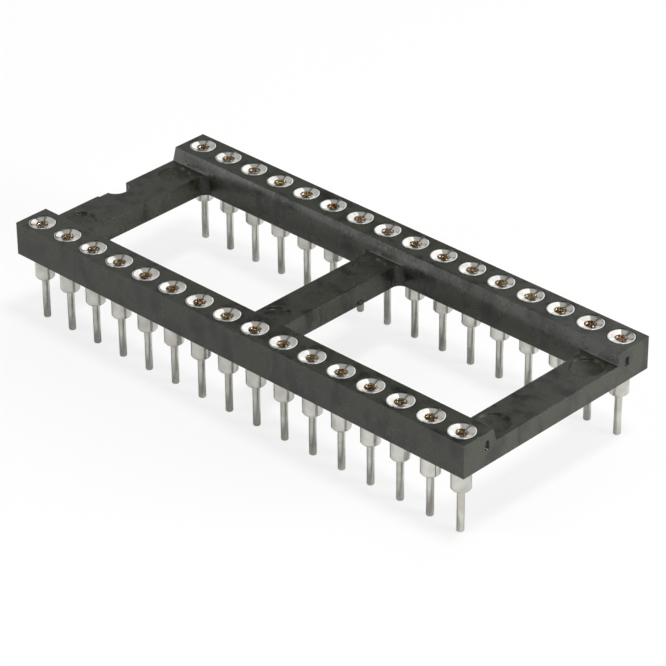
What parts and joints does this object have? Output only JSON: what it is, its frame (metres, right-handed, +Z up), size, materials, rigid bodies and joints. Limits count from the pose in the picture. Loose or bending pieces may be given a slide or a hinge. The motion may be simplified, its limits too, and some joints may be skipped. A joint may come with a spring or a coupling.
{
  "type": "ic socket",
  "caption": "Open-frame dual in-line chip socket with turned contacts, solder tails, sprung inner clips and a half-round key notch",
  "frame": {"origin": "middle of the contact grid, on the board face that the contact shoulders stand on", "axes": "+X along the contact rows, away from the key notch; +Y from the near row to the far row; +Z up out of the board, towards the chip"},
  "size_m": [0.0406, 0.0176, 0.0074],
  "materials": {
    "frame_moulding": "moulded glass-filled polyester, satin black",
    "sleeve_plating": "turned brass, tin plated, bright",
    "clip_plating": "formed beryllium copper, gold plated"
  },
  "bodies": {
    "root": {"moulded_frame": "frame_moulding", "contact_sleeve_01": "sleeve_plating", "contact_sleeve_02": "sleeve_plating", "contact_sleeve_03": "sleeve_plating", "contact_sleeve_04": "sleeve_plating", "contact_sleeve_05": "sleeve_plating", "contact_sleeve_06": "sleeve_plating", "contact_sleeve_07": "sleeve_plating", "contact_sleeve_08": "sleeve_plating", "contact_sleeve_09": "sleeve_plating", "contact_sleeve_10": "sleeve_plating", "contact_sleeve_11": "sleeve_plating", "contact_sleeve_12": "sleeve_plating", "contact_sleeve_13": "sleeve_plating", "contact_sleeve_14": "sleeve_plating", "contact_sleeve_15": "sleeve_plating", "contact_sleeve_16": "sleeve_plating", "contact_sleeve_17": "sleeve_plating", "contact_sleeve_18": "sleeve_plating", "contact_sleeve_19": "sleeve_plating", "contact_sleeve_20": "sleeve_plating", "contact_sleeve_21": "sleeve_plating", "contact_sleeve_22": "sleeve_plating", "contact_sleeve_23": "sleeve_plating", "contact_sleeve_24": "sleeve_plating", "contact_sleeve_25": "sleeve_plating", "contact_sleeve_26": "sleeve_plating", "contact_sleeve_27": "sleeve_plating", "contact_sleeve_28": "sleeve_plating", "contact_sleeve_29": "sleeve_plating", "contact_sleeve_30": "sleeve_plating", "contact_sleeve_31": "sleeve_plating", "contact_sleeve_32": "sleeve_plating", "near_row_clips": "clip_plating", "far_row_clips": "clip_plating"}
  },
  "joints": []
}
